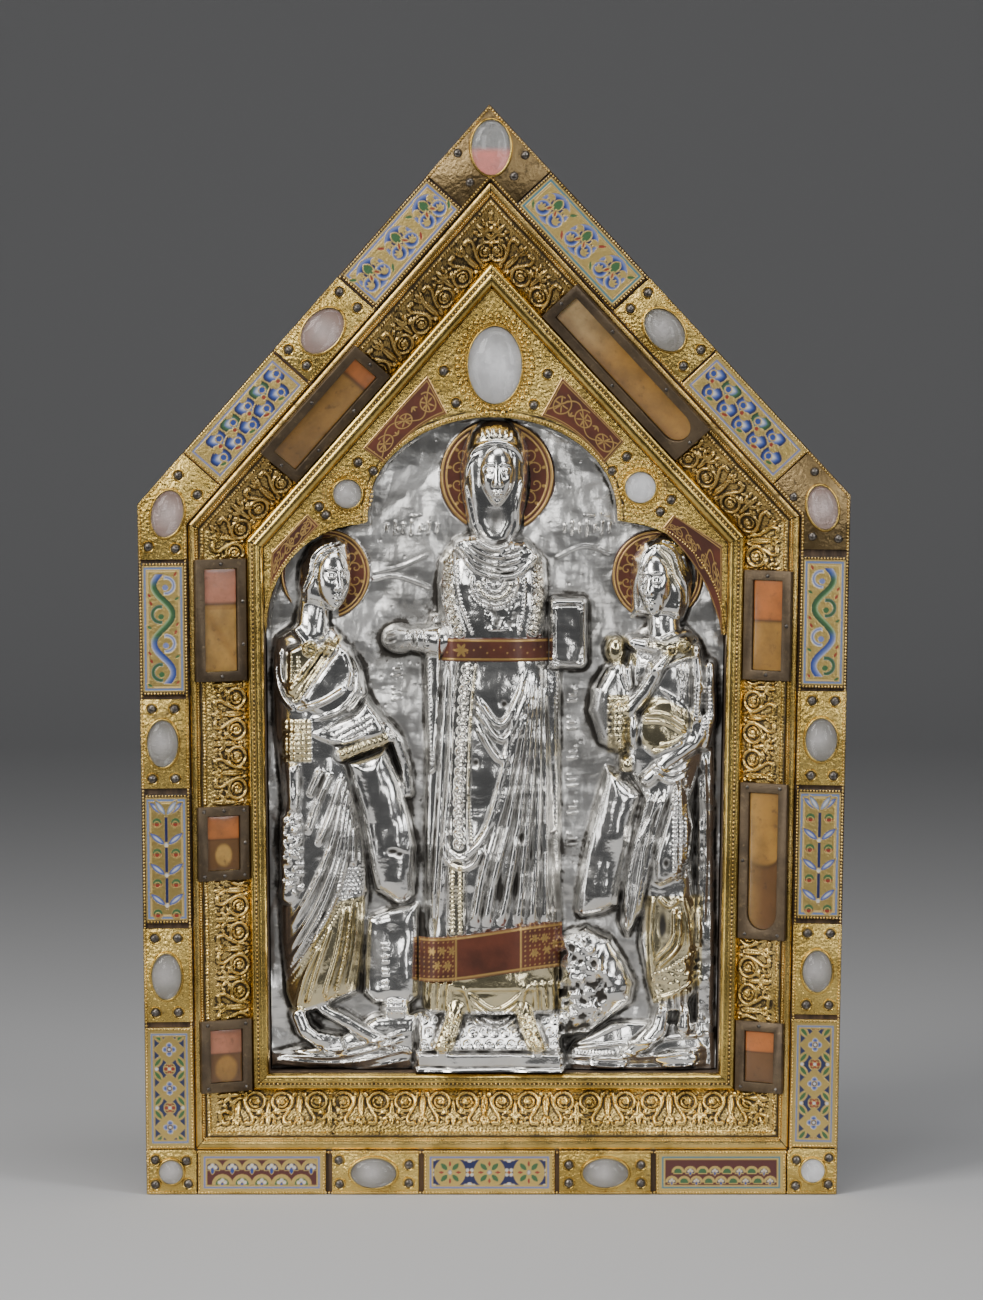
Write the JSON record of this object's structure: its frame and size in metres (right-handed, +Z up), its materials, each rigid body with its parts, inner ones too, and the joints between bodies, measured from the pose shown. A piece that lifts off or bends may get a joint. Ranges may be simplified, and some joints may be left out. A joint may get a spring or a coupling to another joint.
{
  "type": "reliquary shrine gable panel",
  "caption": "Pentagonal gable panel of a reliquary shrine: silver relief of standing figures in a trefoil niche, framed by gilt plates, enamels, crystals and horn windows.",
  "frame": {"origin": "middle of the bottom of the bounding box, on the surface that the panel stands on", "axes": "+Z up along the height, the carved front faces -Y, +X to the viewer's right"},
  "size_m": [0.3812, 0.0618, 0.584],
  "materials": {
    "oak": "old dark oak, matt",
    "enamel": "champleve enamel with gilt lines, glossy",
    "crystal_plaque": "gilt copper, stippled and worn",
    "gilt": "embossed gilt copper, worn bright on the high places",
    "arch_plate": "gilt copper with brown varnish panels",
    "iron": "dark brown patinated metal strip",
    "horn": "translucent amber horn",
    "silver": "polished silver, tarnished in the hollows, partly gilt",
    "varnish": "brown varnish on copper with gilt ornament",
    "crystal": "clear polished rock crystal, slightly flawed",
    "nail": "tarnished dark domed nail head"
  },
  "bodies": {
    "root": {"arch_plate": "arch_plate", "belt_strip": "varnish", "crystal_apex": "crystal_plaque", "crystal_bottom_left": "crystal_plaque", "crystal_bottom_left_corner": "crystal_plaque", "crystal_bottom_right": "crystal_plaque", "crystal_bottom_right_corner": "crystal_plaque", "crystal_left_roof": "crystal_plaque", "crystal_left_shoulder": "crystal_plaque", "crystal_left_wall_high": "crystal_plaque", "crystal_left_wall_low": "crystal_plaque", "crystal_right_roof": "crystal_plaque", "crystal_right_shoulder": "crystal_plaque", "crystal_right_wall_high": "crystal_plaque", "crystal_right_wall_low": "crystal_plaque", "enamel_bottom_left": "enamel", "enamel_bottom_middle": "enamel", "enamel_bottom_right": "enamel", "enamel_left_roof_high": "enamel", "enamel_left_roof_low": "enamel", "enamel_left_wall_high": "enamel", "enamel_left_wall_low": "enamel", "enamel_left_wall_middle": "enamel", "enamel_right_roof_high": "enamel", "enamel_right_roof_low": "enamel", "enamel_right_wall_high": "enamel", "enamel_right_wall_low": "enamel", "enamel_right_wall_middle": "enamel", "foliage_strip_bottom": "gilt", "foliage_strip_left_roof": "gilt", "foliage_strip_left_wall": "gilt", "foliage_strip_right_roof": "gilt", "foliage_strip_right_wall": "gilt", "halo_left": "varnish", "halo_middle": "varnish", "halo_right": "varnish", "hem_strip": "varnish", "horn_pane_left_roof": "horn", "horn_pane_left_wall_high": "horn", "horn_pane_left_wall_low": "horn", "horn_pane_left_wall_middle": "horn", "horn_pane_right_roof": "horn", "horn_pane_right_wall_high": "horn", "horn_pane_right_wall_low": "horn", "horn_pane_right_wall_middle": "horn", "moulding_bottom": "gilt", "moulding_left_roof": "gilt", "moulding_left_wall": "gilt", "moulding_right_roof": "gilt", "moulding_right_wall": "gilt", "oak_body": "oak", "relief_sheet": "silver", "window_frame_left_roof": "iron", "window_frame_left_wall_high": "iron", "window_frame_left_wall_low": "iron", "window_frame_left_wall_middle": "iron", "window_frame_right_roof": "iron", "window_frame_right_wall_high": "iron", "window_frame_right_wall_low": "iron", "window_frame_right_wall_middle": "iron"}
  },
  "joints": []
}
